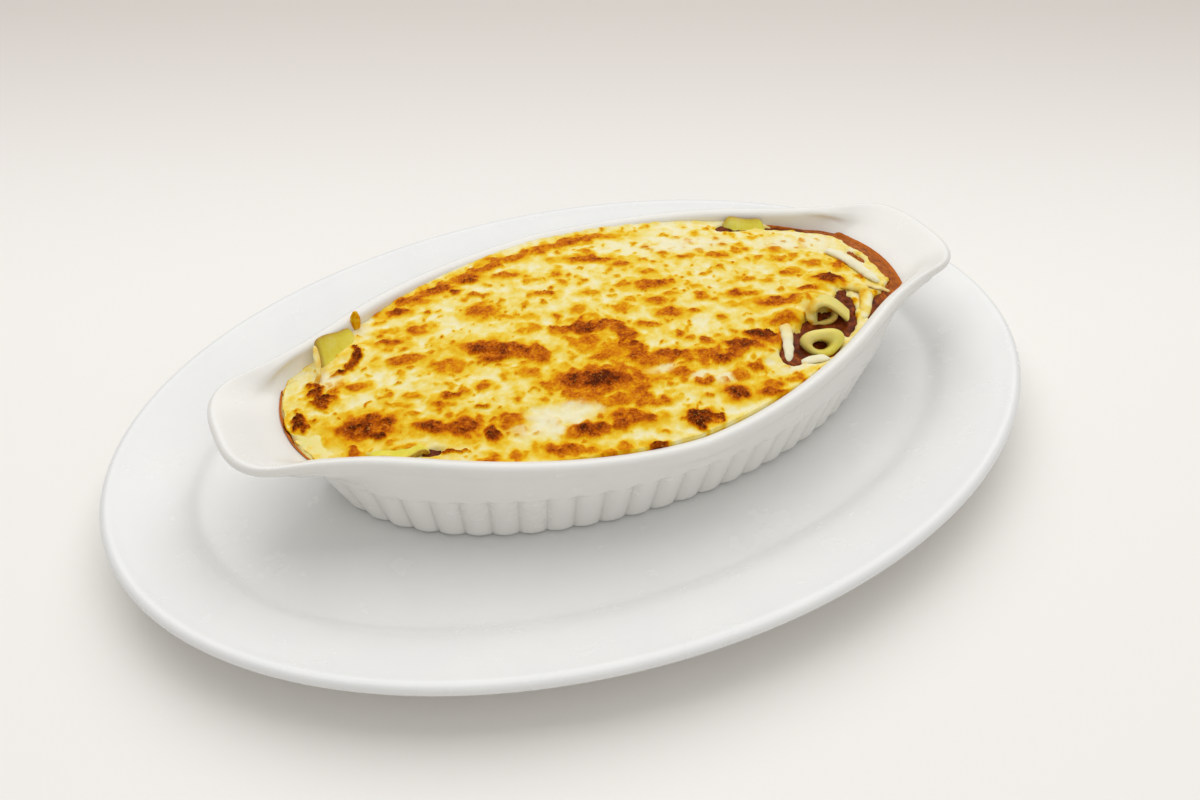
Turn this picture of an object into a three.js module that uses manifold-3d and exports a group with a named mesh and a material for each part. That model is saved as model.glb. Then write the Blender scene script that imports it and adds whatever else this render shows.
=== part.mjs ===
// Plate of lasagna: an oval plate carries an eared gratin dish with a fluted wall,
// filled with meat sauce, two ruffled pasta sheets and a browned cheese top.
// Millimetres, +Z up. The origin is the middle of the plate's foot, on the table.

import * as THREE from 'three';
import { mergeVertices } from 'three/addons/utils/BufferGeometryUtils.js';
import Module from 'manifold-3d';

const wasm = await Module();
wasm.setup();

// Gap between pieces that touch
const clearance = 0.35;

// Plate
const plateLength = 340;
const plateWidth = 245;
const wellLength = 282;
const wellWidth = 178;
const plateRimHeight = 20.6;
const plateFloorHeight = 7;
const plateFloorThickness = 4.6;
const plateFootLength = 228;
const plateFootWidth = 4;
const plateSegments = 48;

// Gratin dish, with heights from its own foot
const dishPlace = new THREE.Vector2(9.3, 2.8);
const dishTurn = -0.9;
const dishLength = 278;
const dishBaseLength = 209.5;
const dishBaseWidth = 119.6;
const dishRimHeight = 34.5;
const dishWall = 5.3;
const dishFloor = 5.2;
const bowlLength = 232;
const bowlWidth = 137.7;
const bowlRoundness = 1.74;
const bowlMiddleRound = 14;
const earTipWidth = 42.8;
const earFlare = 0.288;
const earRise = 4.3;
const earRiseEnd = 108;
const earCorner = 14.9;
const earCornerRoundness = 2.9;
const earNeckBlend = 8.4;
const fluteCount = 58;
const fluteDepth = 1.1;
const fluteGroove = 0.22;
const fluteTop = 21.7;

// Food, with heights from the dish's foot
const foodHalfLength = 117;
const foodCrown = 36.5;
const foodSideFall = 2.6;
const foodEndFall = 2.6;
const cheeseThickness = 3.4;
const cheeseRings = 7;
const pastaThickness = 1.7;

function mix(a, b, share) {
  return a + (b - a) * share;
}

function smooth(low, high, value) {
  return THREE.MathUtils.smoothstep(value, low, high);
}

// The smaller of two values, with a rounded change from one to the other
function softMin(a, b, blend) {
  return (a + b - Math.hypot(a - b, blend)) / 2;
}

// A repeatable random number from 0 to 1
let randomState = 20;
function random() {
  randomState = (randomState * 16807) % 2147483647;
  return randomState / 2147483647;
}

// Merged triangles without the lathe's empty ones at its poles
function closedGeometry(geometry) {
  const bare = new THREE.BufferGeometry();
  bare.setAttribute('position', geometry.attributes.position.clone());
  bare.setIndex(geometry.index ? geometry.index.clone() : null);
  const merged = mergeVertices(bare, 1e-4);
  const source = merged.index.array;
  const kept = [];
  for (let i = 0; i < source.length; i += 3) {
    const [a, b, c] = [source[i], source[i + 1], source[i + 2]];
    if (a !== b && b !== c && c !== a) kept.push(a, b, c);
  }
  merged.setIndex(kept);
  return merged;
}

function toSolid(geometry) {
  const merged = closedGeometry(geometry);
  return new wasm.Manifold(new wasm.Mesh({
    numProp: 3,
    vertProperties: new Float32Array(merged.attributes.position.array),
    triVerts: new Uint32Array(merged.index.array),
  }));
}

// The largest body of a solid, so that no loose scrap of a cut is left
function toGeometry(solid) {
  const bodies = solid.decompose().sort((a, b) => b.volume() - a.volume());
  const mesh = bodies[0].getMesh();
  const geometry = new THREE.BufferGeometry();
  geometry.setAttribute('position', new THREE.BufferAttribute(mesh.vertProperties, 3));
  geometry.setIndex(new THREE.BufferAttribute(mesh.triVerts, 1));
  return geometry;
}

// A lathe gives the rings and their faces, and each ring's rule then places its
// points: a rule takes the share of the way round and returns a point
function ringedGeometry(rings, shares) {
  const profile = rings.map((ring, i) => new THREE.Vector2(1, i));
  const geometry = new THREE.LatheGeometry(profile, shares.length);
  const position = geometry.attributes.position;
  for (let i = 0; i <= shares.length; i++) {
    const share = shares[i % shares.length];
    rings.forEach((ring, j) => {
      const point = ring(share);
      position.setXYZ(i * rings.length + j, point.x, point.y, point.z);
    });
  }
  return geometry;
}

function evenShares(count) {
  return Array.from({ length: count }, (_, i) => i / count);
}

// Plate: half its width where its half length is r, narrower in the well
function plateCross(r) {
  const wellEdge = wellLength / 2;
  const rim = (plateWidth - wellWidth) / (plateLength - wellLength);
  return r < wellEdge ? (r * wellWidth) / wellLength : wellWidth / 2 + (r - wellEdge) * rim;
}

function plateRing(r, z) {
  return (share) => {
    const angle = share * Math.PI * 2;
    return new THREE.Vector3(r * Math.cos(angle), plateCross(r) * Math.sin(angle), z);
  };
}

function makePlate() {
  const edge = plateLength / 2;
  const well = wellLength / 2;
  const foot = plateFootLength / 2;
  const under = plateFloorHeight - plateFloorThickness;
  const underside = [
    plateRing(0, under),
    plateRing(foot - plateFootWidth - 2, under),
    plateRing(foot - plateFootWidth, 0),
    plateRing(foot, 0),
    plateRing(foot + 3, under - 0.4),
    plateRing(well - 4, under + 1.6),
    plateRing(well + 10, under + 6.2),
  ];
  const lip = [
    plateRing(edge - 4.5, plateRimHeight - 5),
    plateRing(edge - 0.8, plateRimHeight - 3.6),
    plateRing(edge, plateRimHeight - 2),
    plateRing(edge - 1, plateRimHeight - 0.4),
    plateRing(edge - 2.8, plateRimHeight),
    plateRing(edge - 5, plateRimHeight - 0.9),
  ];
  const inside = [
    plateRing(well + 6.5, plateFloorHeight + 6),
    plateRing(well + 1, plateFloorHeight + 2),
    plateRing(well - 3.5, plateFloorHeight + 0.35),
    plateRing(well - 9, plateFloorHeight),
    plateRing(0, plateFloorHeight),
  ];
  return ringedGeometry([...underside, ...lip, ...inside], evenShares(plateSegments));
}

// Dish: half the width of its rim at x, where the oval bowl joins the tapering ears
function rimHalfWidth(x) {
  const along = Math.abs(x);
  const inner = Math.max(1 - (Math.hypot(x, bowlMiddleRound) / (bowlLength / 2)) ** bowlRoundness, 0);
  const bowl = (bowlWidth / 2) * inner ** (1 / bowlRoundness);
  const ear = earTipWidth / 2 + (dishLength / 2 - along) * earFlare;
  const side = (bowl + ear + Math.hypot(bowl - ear, earNeckBlend)) / 2;
  const cornerStart = dishLength / 2 - earCorner;
  const nose = THREE.MathUtils.clamp((along - cornerStart) / earCorner, 0, 1);
  return side * Math.max(1 - nose ** earCornerRoundness, 0) ** (1 / earCornerRoundness);
}

function rimHeight(x) {
  return dishRimHeight + earRise * smooth(4, earRiseEnd, Math.abs(x));
}

// Every wall of the dish and every edge of the food is placed by its reach, the
// distance out from the oval of the dish's base, square to that oval
const base = new THREE.EllipseCurve(0, 0, dishBaseLength / 2, dishBaseWidth / 2, 0, Math.PI * 2);
base.arcLengthDivisions = 2000;

function wallPoint(share, reach, z) {
  const point = base.getPointAt(share);
  const along = base.getTangentAt(share);
  return new THREE.Vector3(point.x + along.y * reach, point.y - along.x * reach, z);
}

// The reach of the rim's outer edge, found by halving
const rimReachFound = new Map();
function rimReach(share) {
  if (rimReachFound.has(share)) return rimReachFound.get(share);
  let low = 0;
  let high = dishLength / 4;
  for (let step = 0; step < 40; step++) {
    const middle = (low + high) / 2;
    const point = wallPoint(share, middle, 0);
    if (Math.abs(point.y) < rimHalfWidth(point.x)) low = middle;
    else high = middle;
  }
  rimReachFound.set(share, low);
  return low;
}

// How far the rim has become an ear, from 0 on the sides to 1 at the tips
function earShare(share) {
  return smooth(11, 31, rimReach(share));
}

// The reach and height of the cavity's edge and of its wall below
const cavityEndReach = 12.7;
const cavityEndHeight = 31;
const cavityMiddle = 18.7;

function cavityEdge(share) {
  const reach = softMin(rimReach(share) - dishWall, cavityEndReach, 1.5);
  const outer = wallPoint(share, rimReach(share), 0);
  const z = mix(rimHeight(outer.x) - 3, cavityEndHeight, earShare(share));
  return { reach, z };
}

const cavityStations = [
  () => ({ reach: -9, z: dishFloor + 0.4 }),
  (share) => ({ reach: 0.4 + earShare(share), z: cavityMiddle }),
  cavityEdge,
];

function cavityReach(share, z) {
  const stations = cavityStations.map((station) => station(share));
  const next = Math.max(stations.findIndex((station) => station.z >= z), 1);
  const from = stations[next - 1];
  const to = stations[next];
  return mix(from.reach, to.reach, (z - from.z) / (to.z - from.z));
}

// Three points for each flute: one in its groove and one on each side of it
function fluteShares() {
  const shares = [];
  for (let flute = 0; flute < fluteCount; flute++) {
    shares.push(flute / fluteCount);
    shares.push((flute + fluteGroove) / fluteCount);
    shares.push((flute + 1 - fluteGroove) / fluteCount);
  }
  return shares;
}

function grooveDepth(share) {
  const place = share * fluteCount;
  return Math.abs(place - Math.round(place)) < fluteGroove / 2 ? fluteDepth : 0;
}

function dishRing(reachRule, heightRule) {
  return (share) => {
    const reach = reachRule(share, rimReach(share));
    const outer = wallPoint(share, rimReach(share), 0);
    return wallPoint(share, reach, heightRule(share, rimHeight(outer.x)));
  };
}

// The dish, or with its cavity drawn in by a gap, the cutter that keeps food off it
function makeDish(gap) {
  const flutedTop = (share, rim) => softMin(6.8 + 2.2 * earShare(share), rim - 0.9, 1);
  return ringedGeometry([
    () => new THREE.Vector3(0, 0, 0),
    dishRing(() => -2.4, () => 0),
    dishRing((share) => -grooveDepth(share) * 0.5, () => 2.2),
    dishRing((share, rim) => flutedTop(share, rim) * 0.9 - grooveDepth(share), () => fluteTop - 2.2),
    dishRing(flutedTop, () => fluteTop),
    dishRing((share, rim) => Math.min(16, rim - 1), (share, rim) => rim - 6),
    dishRing((share, rim) => rim - 0.35 - 2 * earShare(share), (share, rim) => rim - 4.2),
    dishRing((share, rim) => rim, (share, rim) => rim - 2.1),
    dishRing((share, rim) => rim - 1.7, (share, rim) => rim),
    dishRing(
      (share, rim) => rim - mix(4.3, 11, earShare(share)) - gap,
      (share, rim) => rim - mix(0.7, 3.7, earShare(share)),
    ),
    ...cavityStations.toReversed().map((station) => (share) => {
      const { reach, z } = station(share);
      return wallPoint(share, reach - gap, z < cavityMiddle ? z + gap : z);
    }),
    () => new THREE.Vector3(0, 0, dishFloor + gap),
  ], fluteShares());
}

// The food follows two points of each flute at the ears and one in three on the sides
function foodShares() {
  return fluteShares().filter((share, i) => i % 3 === 0 || (i % 3 === 1 && earShare(share) > 0));
}

// Food: the level of its top before any blister, falling to the sides and ends
function foodTop(x, y) {
  const side = y / (rimHalfWidth(x * 0.9) - dishWall);
  const along = Math.abs(x) / foodHalfLength;
  const fall = Math.min(side * side + along ** 4, 1.2);
  return foodCrown - foodSideFall * fall - foodEndFall * along ** 6;
}

function foodLayer(x, y, depth) {
  return new THREE.Vector3(x, y, foodTop(x, y) - depth);
}

// How far the cheese stops short of the wall: a little all round, more at the ends
function cheesePullBack(share) {
  const angle = share * Math.PI * 2;
  const right = smooth(0.9, 0.985, Math.cos(angle + 0.06));
  const left = smooth(0.92, 0.99, -Math.cos(angle - 0.05));
  const uneven = 0.5 + 0.5 * Math.sin(share * 61) * Math.sin(share * 23 + 1);
  return clearance + 5.5 * right + 6.5 * left + 0.6 * uneven;
}

function cheesePoint(share, scale, grow, depth) {
  const reach = cavityEdge(share).reach - cheesePullBack(share) + grow;
  const edge = wallPoint(share, reach, 0).multiplyScalar(scale);
  return foodLayer(edge.x, edge.y, depth);
}

// Browned blisters that stand out of the cheese: place, half length, half width,
// turn in degrees and height
const blisters = [
  [-16, -28, 17, 8, -25, 2.2],
  [-2, -8, 12, 5, -30, 1.6],
  [24, -28, 20, 4.5, -22, 1.8],
  [46, -38, 10, 5, -20, 2],
  [-46, 4, 16, 5, -12, 1.8],
  [-93, -13, 9, 6, 15, 1.8],
  [-70, -28, 11, 5, -5, 1.6],
  [-50, -36, 8, 5, 0, 1.4],
  [-32, -48, 9, 5, -8, 1.6],
  [-16, -47, 8, 4, -15, 1.4],
  [4, -58, 9, 4, 12, 1.6],
  [-42, -56, 10, 3.5, -6, 1.2],
  [-38, 26, 7, 4, 0, 1.4],
  [-63, 42, 8, 3.5, 25, 1.6],
  [-42, 50, 9, 3, 20, 1.6],
  [-6, 60, 14, 3, 4, 1.4],
  [26, 54, 14, 3, -15, 1.4],
  [44, -2, 9, 4, -20, 1.2],
  [73, -2, 9, 4, -10, 1.2],
  [-78, 14, 9, 4, 0, 1.3],
];
const looseBlisters = 60;
for (let i = 0; i < looseBlisters; i++) {
  const angle = random() * Math.PI * 2;
  const away = Math.sqrt(random());
  const size = 3 + 3 * random();
  const x = 104 * away * Math.cos(angle);
  const y = 56 * away * Math.sin(angle);
  blisters.push([x, y, size * 1.4, size, -15, 0.3 + 0.7 * random()]);
}

function crustRelief(x, y) {
  let height = 0.35 * Math.sin(x * 0.13 + 1) * Math.cos(y * 0.17 - x * 0.04);
  for (const [centreX, centreY, long, wide, turn, rise] of blisters) {
    const angle = THREE.MathUtils.degToRad(turn);
    const alongX = (x - centreX) * Math.cos(angle) + (y - centreY) * Math.sin(angle);
    const acrossY = (y - centreY) * Math.cos(angle) - (x - centreX) * Math.sin(angle);
    const away = (alongX / long) ** 2 + (acrossY / wide) ** 2;
    if (away < 6) height += rise * Math.exp(-away * 1.4);
  }
  return Math.min(height, 3);
}

function makeCheeseSheet(grow) {
  const rings = [
    () => foodLayer(0, 0, cheeseThickness + grow),
    (share) => cheesePoint(share, 0.68, grow, cheeseThickness + grow),
    (share) => cheesePoint(share, 1, grow - 0.6, cheeseThickness + grow),
    (share) => cheesePoint(share, 1, grow, 1 - grow * 6),
  ];
  for (let ring = 0; ring < cheeseRings; ring++) {
    const scale = ((cheeseRings - ring) / (cheeseRings + 0.5)) ** 0.75;
    rings.push((share) => {
      const point = cheesePoint(share, scale, grow, 0);
      point.z += crustRelief(point.x, point.y) + grow * 6;
      return point;
    });
  }
  rings.push(() => foodLayer(0, 0, -crustRelief(0, 0) - grow * 6));
  return ringedGeometry(rings, foodShares());
}

// A strand of melted cheese along the given points, round and closed at its ends
function makeStrand(points, radius) {
  const section = new THREE.Shape();
  section.absellipse(0, 0, radius, radius, 0, Math.PI * 2);
  const path = new THREE.CatmullRomCurve3(points.map(([x, y, z]) => new THREE.Vector3(x, y, z)));
  return new THREE.ExtrudeGeometry(section, { steps: points.length, curveSegments: 3, extrudePath: path });
}

const cheeseStrands = [
  { points: [[88, 8, 34.2], [98, 6, 34], [105, 0, 32.6], [108, -8, 31.8], [108, -15, 31.4]], radius: 1.7 },
  { points: [[90, -4, 34.2], [98, -10, 33.6], [98, -18, 33], [94, -26, 32.8]], radius: 1.8 },
  { points: [[50, -26, 35.2], [56, -31, 34.6], [52, -38, 33.4], [47, -43, 32.8]], radius: 2 },
];

function makeCrumb() {
  const crumb = new THREE.SphereGeometry(1, 8, 6);
  crumb.scale(2.4, 1.5, 4.2);
  crumb.translate(-78.5, 39.2, 37.4);
  return crumb;
}

// Openings in the cheese where sauce and pasta show: place, half length, half width
// and turn in degrees
const cheeseOpenings = [
  [65, -41, 17, 12, 20],
  [88, -17, 5, 4, -30],
  [-103, 10, 6, 4.5, -20],
  [-112, -3, 6, 4, 60],
  [-88, 24, 6, 2.4, 25],
];

const openingSides = 10;

function makeOpening([x, y, long, wide, turn], grow) {
  const cutter = new THREE.CylinderGeometry(1, 1, foodCrown, openingSides);
  cutter.rotateX(Math.PI / 2);
  cutter.scale(long - grow, wide - grow, 1);
  cutter.rotateZ(THREE.MathUtils.degToRad(turn));
  cutter.translate(x, y, foodCrown);
  return toSolid(cutter);
}

// Pasta sheets: a flat box, with its steps closer at its edges, bent to the surface that
// a rule gives for each x and y
function closerAtEdges(share) {
  return (Math.sign(share) * (1 - (1 - 2 * Math.abs(share)) ** 2)) / 2;
}

function makeSheet(sheet, grow) {
  const length = sheet.end - sheet.start;
  const box = new THREE.BoxGeometry(1, 1, 1, sheet.lengthSteps, sheet.widthSteps, 1);
  const position = box.attributes.position;
  const place = (along, across) => {
    const x = sheet.start + (along + 0.5) * length;
    const widest = across < 0 ? sheet.frontReach : sheet.backReach;
    const half = Math.min(widest, rimHalfWidth(x) - dishWall - sheet.wallGap);
    const y = across * 2 * half;
    return new THREE.Vector3(x, y, foodTop(x, y) - sheet.depth + sheet.lift(x, across * 2));
  };
  const step = 0.002;
  for (let i = 0; i < position.count; i++) {
    const along = closerAtEdges(position.getX(i));
    const across = closerAtEdges(position.getY(i));
    const point = place(along, across);
    const alongStep = place(along + step, across).sub(place(along - step, across));
    const acrossStep = place(along, across + step).sub(place(along, across - step));
    const normal = alongStep.cross(acrossStep).normalize();
    const outward = new THREE.Vector3(Math.trunc(along * 2), Math.trunc(across * 2), 0);
    point.addScaledVector(normal, position.getZ(i) * (pastaThickness + 2 * grow));
    point.addScaledVector(outward, grow);
    position.setXYZ(i, point.x, point.y, point.z);
  }
  return box;
}

// One raised stretch of a sheet's long edge: side is 1 at the back and -1 in front
function edgeLift(x, across, { side, centre, span, height, root }) {
  const lengthwise = Math.exp(-(((x - centre) / span) ** 4));
  const crosswise = THREE.MathUtils.clamp((across * side - root) / (1 - root), 0, 1);
  return height * lengthwise * crosswise ** 1.3;
}

function liftsOf(lifts, ruffle) {
  return (x, across) => {
    const wave = ruffle.height * Math.sin(x * ruffle.pace + ruffle.start) * Math.abs(across) ** 6;
    return lifts.reduce((sum, lift) => sum + edgeLift(x, across, lift), wave);
  };
}

const upperSheet = {
  start: -98,
  end: 86,
  frontReach: 34,
  backReach: 44,
  wallGap: 2.2,
  depth: cheeseThickness + 2 + pastaThickness / 2,
  lengthSteps: 18,
  widthSteps: 4,
  lift: liftsOf([
    { side: 1, centre: -91, span: 9, height: 13.5, root: 0.45 },
    { side: 1, centre: 80, span: 9, height: 5.4, root: 0.7 },
    { side: -1, centre: -88, span: 10, height: 4.6, root: 0.7 },
  ], { height: 0.6, pace: 0.45, start: 0 }),
};

const lowerSheet = {
  start: -118,
  end: 78,
  frontReach: 46,
  backReach: 40,
  wallGap: 3.5,
  depth: cheeseThickness + 4 + pastaThickness * 1.5,
  lengthSteps: 18,
  widthSteps: 4,
  lift: (x, across) => {
    const leftEnd = 8.5 * smooth(94, 109, -x);
    const underCurl = edgeLift(x, across, { side: -1, centre: 62, span: 9, height: 6.5, root: 0.6 });
    return leftEnd + underCurl + 0.8 * Math.sin(x * 0.4) * Math.abs(across) ** 6;
  },
};

// A ruffle of a sheet's front edge that has curled into a short oval tube. Its place is
// the middle of its back end, and it runs forward from there, turned by some degrees
const upperCurl = {
  place: [73, -21, 35],
  turn: -14,
  tilt: 6,
  halfWidth: 8,
  halfHeight: 5,
  length: 14,
};

const lowerCurl = {
  place: [64.5, -36, 34.6],
  turn: -24,
  tilt: 0,
  halfWidth: 9,
  halfHeight: 4.6,
  length: 12,
};

function makeCurlRod(curl, grow) {
  const beyond = Math.abs(grow);
  const outline = new THREE.Shape();
  outline.absellipse(0, 0, curl.halfWidth + grow, curl.halfHeight + grow, 0, Math.PI * 2);
  const depth = curl.length + 2 * beyond;
  const rod = new THREE.ExtrudeGeometry(outline, { depth, bevelEnabled: false, curveSegments: 7 });
  rod.translate(0, 0, -beyond);
  rod.rotateX(Math.PI / 2 + THREE.MathUtils.degToRad(curl.tilt));
  rod.rotateZ(THREE.MathUtils.degToRad(curl.turn));
  rod.translate(...curl.place);
  return toSolid(rod);
}

// A sheet with its curl, and the closed space that they take with a gap round them
function makePasta(sheet, curl) {
  const bore = makeCurlRod(curl, -pastaThickness);
  return toSolid(makeSheet(sheet, 0)).add(makeCurlRod(curl, 0)).subtract(bore);
}

function pastaSpace(sheet, curl) {
  return toSolid(makeSheet(sheet, clearance)).add(makeCurlRod(curl, clearance));
}

// Meat sauce: it fills the cavity, and its top lies in the cheese's own layer, so
// that it shows where the cheese stops short of the wall
const sauceDepth = 0.9;

function makeSauceBody() {
  const shrink = clearance + 0.2;
  const edgeHeight = (share) => cavityEdge(share).z - 0.4;
  const below = cavityStations.slice(0, 2).map((station) => (share) => {
    const { reach, z } = station(share);
    return wallPoint(share, reach - shrink, z + (z < cavityMiddle ? clearance : 0));
  });
  const top = [1, 0.8].map((scale) => (share) => {
    const edge = wallPoint(share, cavityReach(share, edgeHeight(share)) - shrink, 0);
    edge.multiplyScalar(scale);
    return scale === 1 ? edge.setZ(edgeHeight(share)) : foodLayer(edge.x, edge.y, sauceDepth);
  });
  const bottom = () => new THREE.Vector3(0, 0, dishFloor + clearance);
  const middle = () => foodLayer(0, 0, sauceDepth);
  return ringedGeometry([bottom, ...below, ...top, middle], foodShares());
}

function makeCheese(grow) {
  const strands = cheeseStrands.map(({ points, radius }) => makeStrand(points, radius + grow));
  const loose = [...strands, makeCrumb()].map(toSolid);
  const sheet = cheeseOpenings.reduce(
    (solid, opening) => solid.subtract(makeOpening(opening, grow)),
    toSolid(makeCheeseSheet(grow)),
  );
  return loose.reduce((cheese, piece) => cheese.add(piece), sheet);
}

function makeFood() {
  const walls = toSolid(makeDish(clearance));
  const upper = makePasta(upperSheet, upperCurl).subtract(walls);
  const upperSpace = pastaSpace(upperSheet, upperCurl);
  const lower = makePasta(lowerSheet, lowerCurl).subtract(walls).subtract(upperSpace);
  const space = upperSpace.add(pastaSpace(lowerSheet, lowerCurl));
  const cheese = makeCheese(0).subtract(walls).subtract(space);
  const sauce = toSolid(makeSauceBody()).subtract(walls).subtract(makeCheese(clearance)).subtract(space);
  return {
    meat_sauce: toGeometry(sauce),
    pasta_sheet_lower: toGeometry(lower),
    pasta_sheet_upper: toGeometry(upper),
    cheese_topping: toGeometry(cheese),
  };
}

const finishes = {
  plate: { color: 0xeceae6, roughness: 0.22 },
  gratin_dish: { color: 0xf1efe9, roughness: 0.2 },
  meat_sauce: { color: 0x8a3d14, roughness: 0.35 },
  pasta_sheet_lower: { color: 0xd9c65c, roughness: 0.4 },
  pasta_sheet_upper: { color: 0xdccb62, roughness: 0.4 },
  cheese_topping: { color: 0xe6b955, roughness: 0.4 },
};

function namedMesh(name, geometry) {
  geometry.computeVertexNormals();
  const material = new THREE.MeshStandardMaterial({ ...finishes[name], metalness: 0 });
  const mesh = new THREE.Mesh(geometry, material);
  mesh.name = name;
  return mesh;
}

const lasagna = new THREE.Group();
lasagna.add(namedMesh('plate', closedGeometry(makePlate())));

const servedDish = new THREE.Group();
servedDish.position.set(dishPlace.x, dishPlace.y, plateFloorHeight + clearance);
servedDish.rotation.z = THREE.MathUtils.degToRad(dishTurn);
servedDish.add(namedMesh('gratin_dish', closedGeometry(makeDish(0))));
for (const [name, geometry] of Object.entries(makeFood())) {
  servedDish.add(namedMesh(name, geometry));
}
lasagna.add(servedDish);

export default lasagna;
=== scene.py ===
import math
import random

import bmesh
import bpy
import numpy as np
from mathutils import Matrix, Vector, noise


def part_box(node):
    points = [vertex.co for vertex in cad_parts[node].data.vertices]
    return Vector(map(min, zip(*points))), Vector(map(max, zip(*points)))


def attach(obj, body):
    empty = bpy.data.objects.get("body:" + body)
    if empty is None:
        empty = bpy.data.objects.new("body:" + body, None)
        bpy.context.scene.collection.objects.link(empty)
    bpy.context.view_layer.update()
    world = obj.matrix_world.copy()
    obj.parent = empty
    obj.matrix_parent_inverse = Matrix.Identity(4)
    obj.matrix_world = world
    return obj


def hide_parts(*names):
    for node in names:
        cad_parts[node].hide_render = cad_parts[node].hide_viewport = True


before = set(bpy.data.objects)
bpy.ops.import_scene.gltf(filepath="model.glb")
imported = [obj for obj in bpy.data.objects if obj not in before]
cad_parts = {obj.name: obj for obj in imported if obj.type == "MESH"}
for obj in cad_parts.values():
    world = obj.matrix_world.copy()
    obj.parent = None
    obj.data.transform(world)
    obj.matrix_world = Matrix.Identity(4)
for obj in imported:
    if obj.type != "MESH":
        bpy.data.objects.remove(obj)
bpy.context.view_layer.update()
print("frame loaded:", ", ".join(sorted(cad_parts)))

# Shapes are drawn in millimetres, the dish and its food from the middle of the
# dish's foot, and moved to the frame's metres when they are finished
dishLow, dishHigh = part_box("gratin_dish")
dishTurn = -0.9
dishMiddle = (dishLow + dishHigh) / 2
toMetres = Matrix.Scale(0.001, 4)
toFrame = (Matrix.Translation((dishMiddle.x, dishMiddle.y, dishLow.z))
           @ Matrix.Rotation(math.radians(dishTurn), 4, "Z") @ toMetres)

plate = {
    "length": 340, "width": 245, "wellLength": 282, "wellWidth": 178,
    "rimHeight": 20.6, "floorHeight": 7, "floorThickness": 4.6,
    "footLength": 228, "footWidth": 4, "columns": 288,
}

dish = {
    "length": 278, "baseLength": 209.5, "baseWidth": 119.6, "rimHeight": 34.5,
    "wall": 5.3, "floor": 5.2, "bowlLength": 232, "bowlWidth": 137.7,
    "bowlRoundness": 1.74, "bowlMiddleRound": 14, "earTipWidth": 42.8,
    "earFlare": 0.288, "earRise": 4.3, "earRiseEnd": 108, "earCorner": 14.9,
    "earCornerRoundness": 2.9, "earNeckBlend": 8.4, "flutes": 58,
    "fluteDepth": 2.1, "fluteTop": 21.7, "columnsPerFlute": 12,
    "cavityEndReach": 12.7, "cavityEndHeight": 31, "cavityMiddle": 18.7,
    "cavityBelowRim": 3, "earRiseStart": 4, "earReachStart": 11, "earReachEnd": 31,
    "fluteFoot": 2.2, "fluteRoundness": 0.6,
}

food = {
    "halfLength": 117, "crown": 36.5, "sideFall": 2.6, "endFall": 2.6,
    "lean": 0.015, "leanStart": 85, "leanEnd": 104, "columnBend": 1.3,
}


# Curves that the shapes share

def smooth(low, high, value):
    share = np.clip((value - low) / (high - low), 0, 1)
    return share * share * (3 - 2 * share)


def mix(a, b, share):
    return a + (b - a) * share


def softMin(a, b, blend):
    return (a + b - np.hypot(a - b, blend)) / 2


def rimHalfWidth(x):
    along = np.abs(x)
    half = dish["length"] / 2
    inner = 1 - (np.hypot(x, dish["bowlMiddleRound"]) / (dish["bowlLength"] / 2)) ** dish["bowlRoundness"]
    bowl = dish["bowlWidth"] / 2 * np.maximum(inner, 0) ** (1 / dish["bowlRoundness"])
    ear = dish["earTipWidth"] / 2 + (half - along) * dish["earFlare"]
    side = (bowl + ear + np.hypot(bowl - ear, dish["earNeckBlend"])) / 2
    nose = np.clip((along - half + dish["earCorner"]) / dish["earCorner"], 0, 1)
    power = dish["earCornerRoundness"]
    return side * np.maximum(1 - nose ** power, 0) ** (1 / power)


def rimHeight(x):
    return dish["rimHeight"] + dish["earRise"] * smooth(dish["earRiseStart"], dish["earRiseEnd"], np.abs(x))


# The oval of the dish's base, by the share of its length, and points out from it
ovalAngles = np.linspace(0, 2 * math.pi, 4001)
ovalX = dish["baseLength"] / 2 * np.cos(ovalAngles)
ovalY = dish["baseWidth"] / 2 * np.sin(ovalAngles)
ovalLengths = np.concatenate([[0], np.cumsum(np.hypot(np.diff(ovalX), np.diff(ovalY)))])
ovalShares = ovalLengths / ovalLengths[-1]


def wallPoint(share, reach):
    angle = np.interp(share, ovalShares, ovalAngles)
    longHalf, wideHalf = dish["baseLength"] / 2, dish["baseWidth"] / 2
    outX, outY = wideHalf * np.cos(angle), longHalf * np.sin(angle)
    size = np.hypot(outX, outY)
    return (longHalf * np.cos(angle) + outX / size * reach,
            wideHalf * np.sin(angle) + outY / size * reach)


def rimReach(share):
    low = np.zeros_like(share)
    high = np.full_like(share, dish["length"] / 4)
    for halving in range(40):                               # close in on the rim from both sides
        middle = (low + high) / 2
        x, y = wallPoint(share, middle)
        inside = np.abs(y) < rimHalfWidth(x)
        low = np.where(inside, middle, low)
        high = np.where(inside, high, middle)
    return low


def rimOf(share):
    reach = rimReach(share)
    x, y = wallPoint(share, reach)
    ear = smooth(dish["earReachStart"], dish["earReachEnd"], reach)
    return reach, rimHeight(x), ear                         # ear is 1 at the ears and 0 between them


def cavityEdge(share):
    reach, height, ear = rimOf(share)
    edge = softMin(reach - dish["wall"], dish["cavityEndReach"], 1.5)
    return edge, mix(height - dish["cavityBelowRim"], dish["cavityEndHeight"], ear)


# The edge of the food, along the inside of the dish
edgeCount = 900
edgeShares = np.arange(edgeCount) / edgeCount
edgeX, edgeY = wallPoint(edgeShares, cavityEdge(edgeShares)[0])


def foodHalfWidth(x):
    quarter = edgeShares <= 0.25
    order = np.argsort(edgeX[quarter])
    return np.interp(np.abs(x), edgeX[quarter][order], edgeY[quarter][order])


def foodTop(x, y):
    side = y / (rimHalfWidth(x * 0.9) - dish["wall"])
    along = np.abs(x) / food["halfLength"]
    fall = np.minimum(side ** 2 + along ** 4, 1.2)
    return food["crown"] - food["sideFall"] * fall - food["endFall"] * along ** 6


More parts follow.
